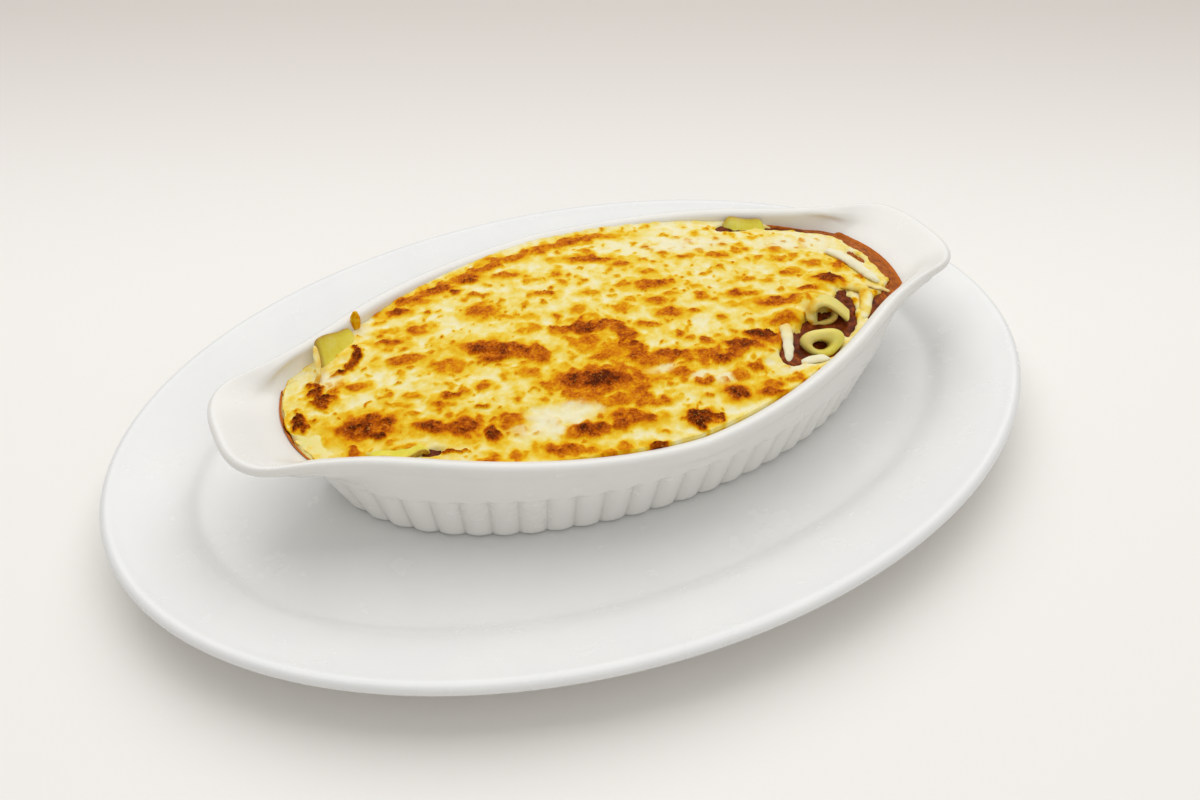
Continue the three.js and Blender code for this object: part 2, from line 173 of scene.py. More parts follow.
def wallDistance(x, y):
    distance = np.empty_like(x)
    nearest = np.empty_like(x)
    batch = 4000
    for start in range(0, len(x), batch):
        part = slice(start, start + batch)
        away = np.hypot(x[part, None] - edgeX, y[part, None] - edgeY)
        closest = np.argmin(away, axis=1)
        distance[part] = away[np.arange(len(closest)), closest]
        nearest[part] = edgeShares[closest]
    return distance, nearest                                # and the share of the wall there


def noiseField(x, y, pace, seed, octaves=3):
    places = zip(x * pace, y * pace)
    return np.array([noise.fractal((a, b, seed), 1.0, 2.0, octaves) for a, b in places])


def ellipseAway(x, y, centreX, centreY, long, wide, turn):
    angle = math.radians(turn)
    along = (x - centreX) * math.cos(angle) + (y - centreY) * math.sin(angle)
    across = (y - centreY) * math.cos(angle) - (x - centreX) * math.sin(angle)
    return np.hypot(along / long, across / wide)            # 1 on the ellipse


# Making meshes

def refined(rings):
    finer = [rings[0]]
    for before, here, after in zip(rings, rings[1:], rings[2:]):
        finer += [(before + here) / 2, (before + 6 * here + after) / 8]
    return finer + [(rings[-2] + rings[-1]) / 2, rings[-1]]


def spinRings(rings, columns, refinements):
    shares = np.arange(columns) / columns
    placed = [np.array(np.broadcast_arrays(*ring(shares))) for ring in rings]
    for refinement in range(refinements):
        placed = refined(placed)
    bm = bmesh.new()
    last = len(placed) - 1
    line = [bm.verts.new((0 if index in (0, last) else 1, 0, index)) for index in range(len(placed))]
    edges = [bm.edges.new(pair) for pair in zip(line, line[1:])]
    bmesh.ops.spin(bm, geom=line + edges, cent=(0, 0, 0), axis=(0, 0, 1),
                   angle=2 * math.pi, steps=columns, use_merge=True)
    bmesh.ops.remove_doubles(bm, verts=bm.verts, dist=0.001)
    for vert in bm.verts:
        column = round(math.atan2(vert.co.y, vert.co.x) / (2 * math.pi) * columns) % columns
        x, y, z = placed[round(vert.co.z)]
        vert.co = (x[column], y[column], z[column])
    bmesh.ops.recalc_face_normals(bm, faces=bm.faces)
    return bm


def finishPiece(name, bm, place, nodes, material):
    mesh = bpy.data.meshes.new(name)
    bmesh.ops.transform(bm, matrix=place, verts=bm.verts)
    bm.to_mesh(mesh)
    bm.free()
    mesh.shade_smooth()
    piece = bpy.data.objects.new(name, mesh)
    bpy.context.scene.collection.objects.link(piece)
    mesh.materials.append(material)
    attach(piece, "root")
    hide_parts(*nodes)
    print("made", name)
    return piece


# Finishes: nodes are written as sums and products of wrapped sockets

def paint(red, green, blue):
    def linear(value):
        value = value / 255
        return value / 12.92 if value <= 0.04045 else ((value + 0.055) / 1.055) ** 2.4
    return (linear(red), linear(green), linear(blue), 1)


class Wire:
    def __init__(self, finish, socket):
        self.finish = finish
        self.socket = socket

    def math(self, operation, first, second):
        return self.finish.node("ShaderNodeMath", {"operation": operation}, {0: first, 1: second})

    def __add__(self, other):
        return self.math("ADD", self, other)

    def __sub__(self, other):
        return self.math("SUBTRACT", self, other)

    def __rsub__(self, other):
        return self.math("SUBTRACT", other, self)

    def __mul__(self, other):
        return self.math("MULTIPLY", self, other)

    __radd__ = __add__
    __rmul__ = __mul__


class Finish:
    def __init__(self, name, **constants):
        self.material = bpy.data.materials.new(name)
        self.material.use_nodes = True
        self.nodes = self.material.node_tree.nodes
        self.links = self.material.node_tree.links
        self.shader = self.nodes["Principled BSDF"]
        self.place = self.node("ShaderNodeTexCoord", output="Object")
        for socket, value in constants.items():
            self.shader.inputs[socket.replace("_", " ")].default_value = value

    def node(self, kind, settings=None, sockets=None, output=0):
        made = self.nodes.new(kind)
        for key, value in (settings or {}).items():
            if key == "stops":
                elements = made.color_ramp.elements
                while len(elements) < len(value):
                    elements.new(0.5)
                for element, (position, colour) in zip(elements, value):
                    element.position = position
                    element.color = colour
            else:
                setattr(made, key, value)
        for key, value in (sockets or {}).items():
            if isinstance(value, Wire):
                self.links.new(value.socket, made.inputs[key])
            else:
                made.inputs[key].default_value = value
        return Wire(self, made.outputs[output])

    def attribute(self, name):
        return self.node("ShaderNodeAttribute", {"attribute_name": name}, output="Fac")

    def grain(self, scale, detail):
        sockets = {"Vector": self.place, "Scale": scale, "Detail": detail, "Roughness": 0.55}
        return self.node("ShaderNodeTexNoise", None, sockets)

    def cells(self, scale):
        return self.node("ShaderNodeTexVoronoi", None, {"Vector": self.place, "Scale": scale})

    def ramp(self, value, stops):
        return self.node("ShaderNodeValToRGB", {"stops": stops}, {"Fac": value})

    def blend(self, factor, first, second):
        settings = {"data_type": "RGBA", "clamp_factor": True}
        return self.node("ShaderNodeMix", settings, {0: factor, 6: first, 7: second}, output=2)

    def within(self, value, low, high):
        sockets = {"Value": value, "From Min": low, "From Max": high}
        return self.node("ShaderNodeMapRange", {"clamp": True, "interpolation_type": "SMOOTHSTEP"}, sockets)

    def use(self, socket, wire):
        self.links.new(wire.socket, self.shader.inputs[socket])

    def relief(self, height, distance, strength):
        sockets = {"Height": height, "Distance": distance, "Strength": strength}
        self.use("Normal", self.node("ShaderNodeBump", None, sockets))


# Plate

def plateRing(r, z):
    wellHalf, wellCross = plate["wellLength"] / 2, plate["wellWidth"] / 2
    rimShare = (plate["width"] - plate["wellWidth"]) / (plate["length"] - plate["wellLength"])
    cross = r * wellCross / wellHalf if r < wellHalf else wellCross + (r - wellHalf) * rimShare

    def ring(share):
        angle = share * 2 * math.pi
        return r * np.cos(angle), cross * np.sin(angle), z
    return ring


def glazeFinish(name, tint, shade):
    finish = Finish(name, Roughness=0.24, Coat_Roughness=0.08, IOR=1.5)
    mottle = finish.grain(38, detail=4)
    finish.use("Base Color", finish.blend(finish.within(mottle, 0.3, 0.75), paint(*shade), paint(*tint)))
    finish.use("Roughness", 0.2 + finish.grain(70, detail=5) * 0.12)
    finish.relief(finish.grain(60, detail=2) + finish.grain(28, detail=2) * 2.5, 0.00005, 0.2)
    return finish


def makePlate():
    edge, well = plate["length"] / 2, plate["wellLength"] / 2
    foot, floor = plate["footLength"] / 2, plate["floorHeight"]
    footWidth = plate["footWidth"]
    under = floor - plate["floorThickness"]
    top = plate["rimHeight"]
    # from the middle of the underside out over the rolled rim and back to the middle of the well
    profile = [
        (0, under), (foot - 30, under), (foot - footWidth - 3, under),
        (foot - footWidth, 0), (foot - footWidth * 0.5, -0.15), (foot, 0), (foot + 3, under - 0.4),
        (well - 4, under + 1.6), (well + 10, under + 6.2), (edge - 14, under + 9.4),
        (edge - 4.5, top - 5), (edge - 0.9, top - 3.9), (edge + 0.3, top - 1.9), (edge - 0.9, top - 0.1),
        (edge - 3, top + 0.15), (edge - 5.2, top - 0.9), (edge - 10, top - 2.3),
        (well + 6.5, floor + 6), (well + 2.6, floor + 3.4), (well - 0.2, floor + 1.1),
        (well - 4, floor + 0.2), (well - 10, floor), (well - 50, floor), (0, floor),
    ]
    bm = spinRings([plateRing(r, z) for r, z in profile], plate["columns"], 2)
    glaze = glazeFinish("plate glaze", (239, 239, 237), (236, 236, 235))
    finishPiece("oval_plate", bm, toMetres, ["plate"], glaze.material)


makePlate()


# Gratin dish

def makeDish():
    columns = dish["flutes"] * dish["columnsPerFlute"]
    foot, fluteTop, floor = dish["fluteFoot"], dish["fluteTop"], dish["floor"]
    found = {}

    def groove(share):
        rib = np.abs(np.sin(share * dish["flutes"] * math.pi))
        return dish["fluteDepth"] * (1 - rib ** dish["fluteRoundness"])

    def ring(reachRule, heightRule):
        def placed(share):
            if "rim" not in found:
                found["rim"] = rimOf(share)
            rim, height, ear = found["rim"]
            x, y = wallPoint(share, reachRule(share, rim, ear))
            return x, y, heightRule(height, ear)
        return placed

    def level(z, earZ=None):
        return lambda height, ear: mix(z, z if earZ is None else earZ, ear)

    def below(drop, earDrop=None):
        return lambda height, ear: height - mix(drop, drop if earDrop is None else earDrop, ear)

    def fluted(z, shown):
        def reachRule(share, rim, ear):
            top = softMin(6.8 + 2.2 * ear, rim - 0.9, 1)
            rise = np.clip((z - foot) / (fluteTop - foot), 0, 1.2)
            return top * rise - groove(share) * shown
        return ring(reachRule, level(z))

    def cavity(reachRule, heightRule):
        def placed(share):
            reach, height = cavityEdge(share)
            x, y = wallPoint(share, reachRule(reach))
            return x, y, heightRule(height)
        return placed

    def flat(reach, z):
        return lambda share: (*wallPoint(share, reach), z)

    def pole(z):
        return lambda share: (0 * share, 0, z)

    # the foot and the fluted wall, from below
    rings = [
        pole(0), flat(-30, 0), flat(-3.4, 0),
        ring(lambda share, rim, ear: -1.9 - groove(share) * 0.5, level(0.3)),
        ring(lambda share, rim, ear: -0.7 - groove(share) * 0.8, level(1.4)),
    ]
    rings += [fluted(z, 1) for z in (3, 7, 11, 15, fluteTop - 2.2, fluteTop - 0.9)]
    rings += [fluted(fluteTop - 0.1, 0.45), fluted(fluteTop + 0.5, 0.0)]
    # the smooth band, the ears and the rolled rim
    rings += [
        ring(lambda share, rim, ear: softMin(mix(7.3, 12, ear), rim - 0.9, 1), level(25, 27)),
        ring(lambda share, rim, ear: np.minimum(16, rim - 0.95), below(6)),
        ring(lambda share, rim, ear: np.minimum(mix(rim, 22, ear), rim - 0.7), below(5.2)),
        ring(lambda share, rim, ear: rim - 0.35 - 2 * ear, below(4.2)),
        ring(lambda share, rim, ear: rim - 0.05 - 0.4 * ear, below(3.2)),
        ring(lambda share, rim, ear: rim + 0.15, below(1.9)),
        ring(lambda share, rim, ear: rim - 0.45, below(0.55)),
        ring(lambda share, rim, ear: rim - 1.8, below(-0.1)),
        ring(lambda share, rim, ear: rim - mix(3.1, 4.2, ear), below(0.15, 0.7)),
        ring(lambda share, rim, ear: rim - mix(4.6, 11, ear), below(0.9, 3.4)),
        ring(lambda share, rim, ear: mix(rim - 5.2, (rim + 5) / 2, ear), below(2, 5.2)),
    ]
    # the inside, down to the floor
    rings += [
        cavity(lambda reach: reach, lambda height: height),
        cavity(lambda reach: mix(reach, 0.4, 0.35), lambda height: mix(height, dish["cavityMiddle"], 0.4)),
        flat(0.6, dish["cavityMiddle"]), flat(-4.6, 9.4), flat(-9, 5.9), flat(-20, floor), pole(floor),
    ]
    bm = spinRings(rings, columns, 1)
    glaze = glazeFinish("dish glaze", (241, 239, 233), (238, 236, 230))
    finishPiece("eared_gratin_dish", bm, toFrame, ["gratin_dish"], glaze.material)


makeDish()


# Cheese: where it lies, what is browned and how it stands

cheese = {
    "thickness": 3.4, "columns": 420, "rows": 200, "highest": 3.6, "skirt": 0.4,
    "looseSpots": 900, "seed": 11, "spotsAlong": (-104, 100), "spotsAcross": (-60, 60),
    "overlap": 1.5, "rightGap": 8.0, "leftGap": 2.2, "ragged": 2.2,
}

# Openings where sauce and pasta show: place, half length, half width and turn
cheeseOpenings = [
    (51.2, -40.3, 9.5, 4.9, 45), (67, -34, 11, 6.5, 30), (60, -44.5, 9, 4, 15), (80, -29, 13, 4.4, 58),
    (106.8, 1.2, 4.4, 1.5, -84), (-79.3, -34.2, 3.4, 1.6, -14), (-90.5, -29.6, 8, 1.8, -24),
    (75, 38.5, 8, 3.4, -16), (89, 31.5, 6, 1.6, -26),
]

# Swells where the cheese lies over something: place, half length, half width, turn and height
cheeseSwells = [
    (60, -25, 8, 7, 20, 3), (70, -22, 9, 7, 20, 4.4), (84, -12, 9, 5, 0, 1.2), (-85, 24, 6, 5, 20, 1.2),
    (40, -38, 9, 7, 0, 1),
]

# Browned patches: place, half length, half width, turn and brownness from 0 to 1
brownedLeft = [
    (-64.5, 41.7, 5.5, 3.5, -24, 0.75), (-62, 27, 5, 4, -24, 0.6), (-71, 31, 5, 2.5, -24, 0.45),
    (-73, 24, 7, 3, -34, 0.65), (-72, 12, 10, 3, -20, 0.6), (-91, 6.6, 5, 3, -24, 0.6),
    (-96, 10, 3, 3, -24, 0.5), (-94, -14, 13, 7, -20, 0.8), (-92.5, -19.7, 3.5, 2.4, -30, 0.97),
    (-98, -12.7, 3, 1.8, -24, 0.97), (-75, -24.7, 8, 4, -34, 0.8), (-75, -24.7, 4, 1.2, -34, 0.95),
    (-66.7, -28.8, 8, 6, -30, 0.75), (-67.5, -29.5, 3.5, 1.3, -40, 0.97), (-64.8, -13, 5, 2.5, -15, 0.75),
    (-69.5, -15.6, 4, 2.5, -24, 0.65), (-79.5, -15.3, 3, 1.5, -24, 0.5), (-82, -9, 6, 2, -34, 0.5),
    (-84, -3, 3, 2, -24, 0.5), (-76, -7.6, 4, 2, -24, 0.5), (-53, -13.5, 3.5, 2.5, -24, 0.65),
    (-57.7, -22.5, 2, 1.5, -24, 0.7), (-60, 2, 9, 5, -34, 0.55), (-59.5, -35.5, 3, 6, 0, 0.85),
    (-52, -33, 6, 5, -24, 0.65), (-56.7, -48, 4, 3, -24, 0.5), (-64.6, -46, 5, 3, -24, 0.6),
    (-85.6, -28.6, 5, 2, -24, 0.5), (-101, -23, 3, 4, 0, 0.7),
]
brownedMiddle = [
    (-41, 2.5, 18, 5, -32, 0.75), (-46.7, 3.9, 6, 3.5, -30, 0.88), (-9, 1, 10, 4, -15, 0.8),
    (-10, -2, 5, 2, -15, 0.88), (-12, -6.4, 6, 4, -24, 0.6), (1.5, -9, 4, 10, 0, 0.7),
    (1.6, -15, 2.6, 3, 0, 0.95), (11, -25.5, 10, 3, -18, 0.75), (-19, -27, 17, 8, -22, 0.82),
    (-16, -27.5, 8, 4.5, -22, 0.97), (-12, -16.6, 5, 2.5, -15, 0.65), (-7, -14.6, 8, 6, -24, 0.5),
    (-6, -44.6, 8, 2.5, -15, 0.6), (-15.4, -48, 9, 4, -34, 0.75), (-22.5, -48.4, 3, 3, -24, 0.65),
    (-30.8, -47.3, 7, 4.5, -24, 0.9), (-36, -46.5, 4, 3, -24, 0.65), (-41, -53, 11, 3.5, -29, 0.65),
    (-24.5, -59, 3.5, 3, -24, 0.55), (-14.6, -63, 4, 2, -24, 0.85), (4, -57.5, 6, 4, -24, 0.97),
    (8.3, -35.2, 6, 4, -24, 0.6), (1, -36, 5, 2, -24, 0.5), (-37.2, -13.7, 6, 4, -24, 0.5),
    (-26, 8.8, 5, 3, -24, 0.5), (-38, 26.9, 6.5, 5.5, -24, 0.65), (21.9, -4.3, 6, 4, -24, 0.65),
    (20.5, 4.5, 5, 3, -24, 0.6), (27.5, 6, 4, 2.5, -24, 0.5), (11.2, -7.3, 5, 2.5, -34, 0.6),
    (18.3, -16.4, 2.5, 2.5, -24, 0.6), (20.8, -20.5, 2, 2, -24, 0.55), (30.5, -7.5, 4, 2, -24, 0.6),
    (24.5, 14.7, 9, 4, -16, 0.65), (8, 6, 5, 4, -24, 0.5), (13, 9.3, 3, 2, -24, 0.5),
    (15, 19, 4, 2, -24, 0.5), (2.3, 19.6, 5, 2.5, -24, 0.5), (-6.6, 11.7, 4, 3, -24, 0.5),
    (-24, 16, 5, 3, -24, 0.35), (-32, 20, 5, 2, -24, 0.45),
]
brownedRight = [
    (50.7, -5.1, 7, 2.5, -17, 0.65), (37, 0, 3, 3, -24, 0.55), (40.3, -4, 2.5, 2, -24, 0.5),
    (61, -15.5, 12, 4, -17, 0.7), (75, -0.6, 5, 2.5, -24, 0.6), (86.7, 1, 5, 3, -24, 0.6),
    (94.8, -3.9, 4, 4, -24, 0.6), (85, -10.4, 7, 4, -24, 0.9), (74.7, -12.9, 6, 2, -24, 0.7),
    (54.8, -26.4, 7, 3.5, -24, 0.65), (44.4, -29.7, 8, 3, -29, 0.95), (45.5, -34, 5, 4, -24, 0.65),
    (35.5, -31.5, 9, 4, -29, 0.85), (22.3, -31.5, 7, 4, -24, 0.65), (25, -24.7, 4, 2.5, -24, 0.6),
    (33, -43.5, 4, 3, -24, 0.75), (20.8, -52, 6, 4.5, -24, 0.85), (14.2, -43, 5, 2.5, -24, 0.75),
    (25.7, -44.8, 4, 4, -24, 0.6), (33.3, -53.2, 5, 3, -24, 0.6), (41.9, -54.3, 5, 2, -24, 0.6),
    (31.3, -56.7, 6, 3, -24, 0.75), (55.7, 21.6, 6, 2.5, -29, 0.6), (68, 21, 3, 2.5, -24, 0.5),
    (79, 15.5, 4, 3, -24, 0.55), (76.2, 9.2, 4, 2.5, -24, 0.55), (82.3, 8.7, 2.5, 2.5, -24, 0.5),
    (63.9, -1.9, 3.5, 3, -24, 0.45), (55, 2.9, 3, 2, -24, 0.35), (45, -10, 4, 3, -24, 0.4),
    (43.8, 26.5, 4, 2.5, -24, 0.55), (51.7, 34, 3.5, 1.5, -24, 0.45), (27, 22.5, 4.5, 2, -24, 0.55),
    (29.6, 31, 3.5, 1.5, -24, 0.5),
]
brownedBack = [
    (-46.7, 48.4, 7, 4, -9, 0.75), (-56, 43.6, 7, 3, -14, 0.5), (-42, 43.5, 2.5, 2.5, -24, 0.75),
    (-33.8, 51.6, 6, 4, -24, 0.65), (-34.3, 48, 4, 2, -24, 0.9), (-35, 37.6, 5, 2, -24, 0.55),
    (-20.9, 44.9, 7, 3, -14, 0.6), (-17, 56.8, 9, 3, -24, 0.6), (-24, 54, 2, 2, -24, 0.6),
    (5, 57, 6, 3, -24, 0.5), (22, 56, 14, 3, -24, 0.5), (12, 41.2, 13, 3, -26, 0.7),
    (15, 39.5, 4, 1.5, -24, 0.8), (20.9, 32.2, 5, 2.5, -24, 0.65), (-4.2, 37.2, 3, 3, -24, 0.55),
    (-13, 27, 5, 2.2, -24, 0.7), (-18.5, 27.7, 2.5, 2, -24, 0.5), (-12, 37, 3, 2, -24, 0.45),
    (13.6, 19.4, 4, 2, -24, 0.5),
]

# Browned bands: the points along each, half width and brownness
brownedBands = [
    ([(-17.3, 3.7), (-12.3, 3), (-7.9, 0.5), (-1.7, -0.6), (1.2, -5.5), (1, -13.5), (0.4, -20.5),
      (1.4, -25.2)], 4.2, 0.66),
    ([(1.4, -25.2), (6.5, -27), (12.5, -27.2), (17, -31), (22.9, -34.5)], 3.6, 0.58),
    ([(22.9, -34.5), (34.9, -33), (42, -31.8)], 4.2, 0.7),
    ([(-15, -7), (-12.7, -13.9), (-3.6, -19), (0, -33)], 5.5, 0.42),
    ([(-34, -24), (-22, -21.5), (-10, -24), (-5.5, -32), (-9, -40)], 4.5, 0.58),
    ([(-31, -30), (-20.6, -37), (-10, -41.5)], 4, 0.58),
    ([(-46.4, 1.4), (-37.1, -1), (-29.5, -6.5)], 5, 0.66),
    ([(-60, 46), (-45, 50.5), (-30, 53.5), (-12, 56), (8, 57), (22, 56)], 3.2, 0.6),
    ([(-95.5, 17), (-90, 16.5), (-86, 20.6), (-84.8, 27)], 1.7, 0.9),
    ([(-103.5, 12.5), (-102.8, 4.5)], 3.8, 0.86), ([(-112.4, 2.6), (-111, -3)], 3, 0.86),
    ([(-22.6, -50.1), (-17.2, -48.5), (-12.3, -49.1)], 2.6, 0.74),
    ([(0.2, -56.5), (2.9, -59), (8.6, -59.7)], 2.4, 0.97), ([(2.9, -59), (1.9, -63)], 1.5, 0.97),
    ([(-76.5, -36), (-70, -38.5)], 0.9, 0.8),
]

# Paler patches where the cheese stayed milky: place, half length, half width and turn
whitePatches = [
    (-42, -38, 12, 6, -10), (-36, -41, 9, 4, 0), (4.3, -31.2, 6, 2.4, -10), (21, -44, 5, 3, -10),
    (14, -39, 5, 2.6, 0), (86, 18, 14, 5, -20), (-98, 15, 4, 6, 20), (-30, -37, 10, 5, -10),
    (50, 34, 16, 6, -20), (98, 14, 8, 8, 0), (50, -48.5, 11, 2.4, 6),
]


def looseSpots():
    chance = random.Random(cheese["seed"])
    spots = []
    for spot in range(cheese["looseSpots"]):
        x = chance.uniform(*cheese["spotsAlong"])
        y = chance.uniform(*cheese["spotsAcross"])
        size = 0.75 + 1.5 * chance.random() ** 2.4
        stretch = chance.uniform(1.0, 1.35)
        spots.append((x, y, size * stretch, size, chance.uniform(20, 100), chance.uniform(0.3, 0.6)))
    return spots


# How far the cheese covers a place, from 0 to 1: it stays back from the wall at the dish's ends
def coverOf(x, y, away, share):
    angle = share * 2 * math.pi
    right = smooth(0.84, 0.97, np.cos(angle + 0.02))
    left = smooth(0.92, 0.99, -np.cos(angle - 0.05))
    ragged = noiseField(x, y, 0.16, 3.0)
    gap = -cheese["overlap"] + cheese["rightGap"] * right + cheese["leftGap"] * left
    gap = gap + cheese["ragged"] * ragged * (right + 0.4 * left)
    cover = smooth(-0.9, 0.9, away - gap)
    for opening in cheeseOpenings:
        edge = ellipseAway(x, y, *opening) + 0.16 * ragged
        size = min(opening[2:4])
        cover = np.minimum(cover, smooth(-0.9 / size, 0.9 / size, edge - 1))
    return cover


def bandAway(x, y, points, halfWidth):
    nearest = np.full_like(x, np.inf)
    for (startX, startY), (endX, endY) in zip(points, points[1:]):
        alongX, alongY = endX - startX, endY - startY
        share = ((x - startX) * alongX + (y - startY) * alongY) / (alongX ** 2 + alongY ** 2)
        share = np.clip(share, 0, 1)
        nearest = np.minimum(nearest, np.hypot(x - startX - share * alongX, y - startY - share * alongY))
    return nearest / halfWidth                              # 1 at the band's edge


def foodGrid(columns, rows):
    bm = bmesh.new()
    bmesh.ops.create_grid(bm, x_segments=columns, y_segments=rows, size=1)
    bm.verts.ensure_lookup_table()
    across = np.array([vert.co.x for vert in bm.verts])
    upward = np.array([vert.co.y for vert in bm.verts])
    bend = food["columnBend"]
    x = edgeX.max() * np.sin(across * bend) / math.sin(bend)
    y = upward * foodHalfWidth(x)
    return bm, x, y


# How far buried food draws in at the dish's ends, where the wall leans
def endLean(x, drop, away=0):
    atEnds = smooth(food["leanStart"], food["leanEnd"], np.abs(x))
    return 1 - food["lean"] * drop * atEnds * smooth(7.5, 3, away)


def closeBelow(bm, depth):
    rim = [edge for edge in bm.edges if edge.is_boundary]
    lowered = bmesh.ops.extrude_edge_only(bm, edges=rim)["geom"]
    for vert in (item for item in lowered if isinstance(item, bmesh.types.BMVert)):
        low = depth(vert.co.x, vert.co.y)
        leaning = float(endLean(vert.co.x, vert.co.z - low))
        vert.co = (vert.co.x * leaning, vert.co.y * leaning, low)
    bmesh.ops.holes_fill(bm, edges=[edge for edge in bm.edges if edge.is_boundary], sides=0)
    bmesh.ops.triangulate(bm, faces=[face for face in bm.faces if len(face.verts) > 4])
    bmesh.ops.recalc_face_normals(bm, faces=bm.faces)


def cheeseFinish():
    finish = Finish("browned cheese", Subsurface_Weight=0.05, Subsurface_Scale=0.001, IOR=1.4,
                    Specular_IOR_Level=0.04)
    finish.shader.inputs["Subsurface Radius"].default_value = (1.0, 0.6, 0.3)
    fine = finish.grain(1000, detail=4)
    middling = finish.grain(300, detail=3)
    brown = finish.attribute("brown")
    milk = finish.attribute("milk")
    spotted = finish.within(brown, 0.3, 0.65)
    baked = brown + (fine - 0.5) * (0.12 + spotted * 0.5) + (middling - 0.5) * (0.3 + spotted * 0.35)
    colour = finish.ramp(baked, [
        (0.0, paint(244, 235, 190)), (0.13, paint(243, 223, 130)), (0.26, paint(240, 202, 56)),
        (0.38, paint(232, 171, 6)), (0.5, paint(220, 136, 0)), (0.64, paint(198, 101, 0)),
        (0.8, paint(156, 66, 0)), (1.0, paint(86, 30, 0)),
    ])
    pale = finish.blend(milk * (1 - finish.within(brown, 0.2, 0.5)) * 0.65, colour, paint(243, 239, 216))
    # Painted highlights: tiny pale orange specks on the browned patches stand in for glints of light off
    # the fat
    paintedGlint = finish.within(finish.grain(1400, detail=2), 0.6, 0.7) * finish.within(brown, 0.42, 0.6) * 0.4
    finish.use("Base Color", finish.blend(paintedGlint, pale, paint(240, 176, 84)))
    finish.use("Roughness", 0.3 + fine * 0.2)
    rough = finish.grain(1700, detail=3)
    finish.relief(fine * (0.12 + brown * 1.5) + rough * 0.15 + middling * 0.6, 0.0004, 0.6)
    return finish


def smoothPath(points, steps):
    places = np.array([points[0], *points, points[-1]], float)
    path = []
    for before, start, end, after in zip(places, places[1:], places[2:], places[3:]):
        for step in range(steps):
            t = step / steps
            squared = (2 * before - 5 * start + 4 * end - after) * t ** 2
            cubed = (3 * start - before - 3 * end + after) * t ** 3
            path.append(0.5 * (2 * start + (end - before) * t + squared + cubed))
    return [Vector(place) for place in path + [places[-1]]]


def addStrand(bm, points, radius, taper):
    flat = 0.55                                             # height of a strand against its width
    ring = bmesh.ops.create_circle(bm, segments=14, radius=1.0)["verts"]
    path = smoothPath(points, 6)
    edges = list(dict.fromkeys(edge for vert in ring for edge in vert.link_edges))
    last = len(path) - 1
    everything = list(ring)
    for index, point in enumerate(path):
        ahead = (path[min(index + 1, last)] - path[max(index - 1, 0)]).normalized()
        sideways = ahead.cross(Vector((0, 0, 1))).normalized()
        roundEnd = max(1 - abs(2 * index / last - 1) ** 4, 0.02) ** 0.5
        size = radius * roundEnd * (1 + taper * (0.5 - index / last))
        if index:
            grown = bmesh.ops.extrude_edge_only(bm, edges=edges)["geom"]
            ring = [item for item in grown if isinstance(item, bmesh.types.BMVert)]
            edges = [item for item in grown if isinstance(item, bmesh.types.BMEdge) and item.is_boundary]
            everything += ring
        for number, vert in enumerate(ring):
            angle = 2 * math.pi * number / len(ring)
            upward = sideways.cross(ahead)
            vert.co = point + size * (math.cos(angle) * sideways + flat * math.sin(angle) * upward)
    ends = [edge for vert in everything for edge in vert.link_edges if edge.is_boundary]
    bmesh.ops.holes_fill(bm, edges=list(dict.fromkeys(ends)), sides=0)
    return everything


# Strands that lie over the top or hang across an opening: the points along each
cheeseStrands = [
    {"points": [(95.5, 6.5, 34.6), (97.2, 4.2, 35.6), (98.9, -0.6, 35.6), (100.2, -7, 35.2),
                (101.5, -13.4, 34.6), (102.8, -19, 34)],
     "radius": 2.1, "milk": 0.9, "brown": 0.02},
    {"points": [(87, -15, 34.4), (91.3, -18.1, 34.8), (93.4, -20.8, 34.8), (92.3, -24.8, 34.4),
                (88.3, -30.1, 33.8), (83.3, -35, 33)],
     "radius": 2.4, "milk": 0.1, "brown": 0.22},
    {"points": [(57.6, -22.5, 33), (55.8, -26.5, 34.6), (53.6, -30.2, 35.8), (51.8, -34, 35.8),
                (50, -37.6, 35.2), (47.6, -41.6, 34.4), (46, -44.4, 33.6)],
     "radius": 2.1, "milk": 0.9, "brown": 0.02, "taper": 0.5, "bakedTop": 0.42},
    {"points": [(65.8, -30.4, 32.8), (64.9, -29.4, 36), (65, -28.4, 38.8), (66.8, -27.8, 40.4),
                (69.4, -27.8, 40.6), (72, -27.8, 39.6), (75, -26.5, 37.4)],
     "radius": 2.0, "milk": 0.2, "brown": 0.24},
    {"points": [(49.5, -46.5, 33), (53, -48, 34.4), (56.5, -48.8, 34.6), (59.5, -48.6, 33.4)],
     "radius": 1.7, "milk": 0.9, "brown": 0.02},
    {"points": [(-97.8, 28, 40), (-98.6, 24.5, 39), (-99.4, 20.6, 37), (-100.4, 17.4, 35),
                (-102.6, 15.6, 33)],
     "radius": 0.95, "milk": 0.3, "brown": 0.2},
    {"points": [(94, -16.5, 33.6), (97.5, -19, 34), (101, -21.8, 33.4), (104, -23.8, 32.6)],
     "radius": 0.9, "milk": 0.5, "brown": 0.15},
]

cheeseCrumb = {"size": (1.8, 1.3, 4.2), "place": (-80.2, 39.9, 36.9), "brown": 0.4}


def brownedField(x, y, lumps):
    brown = np.zeros_like(x)
    rise = np.zeros_like(x)
    patches = brownedLeft + brownedMiddle + brownedRight + brownedBack + looseSpots()
    radii = [(ellipseAway(x, y, *patch[:5]), patch[5]) for patch in patches]
    radii += [(bandAway(x, y, points, halfWidth) - 0.5 * lumps, strength)
              for points, halfWidth, strength in brownedBands]
    for radius, strength in radii:
        halo = 0.5 * min(strength, 0.66) * smooth(2, 0.9, radius)
        brown = np.maximum(brown, np.maximum(halo, strength * smooth(1.3, 0.42, radius)))
        rise = np.maximum(rise, (strength - 0.3) * 1.8 * smooth(1.2, 0.2, radius))
    return brown, rise


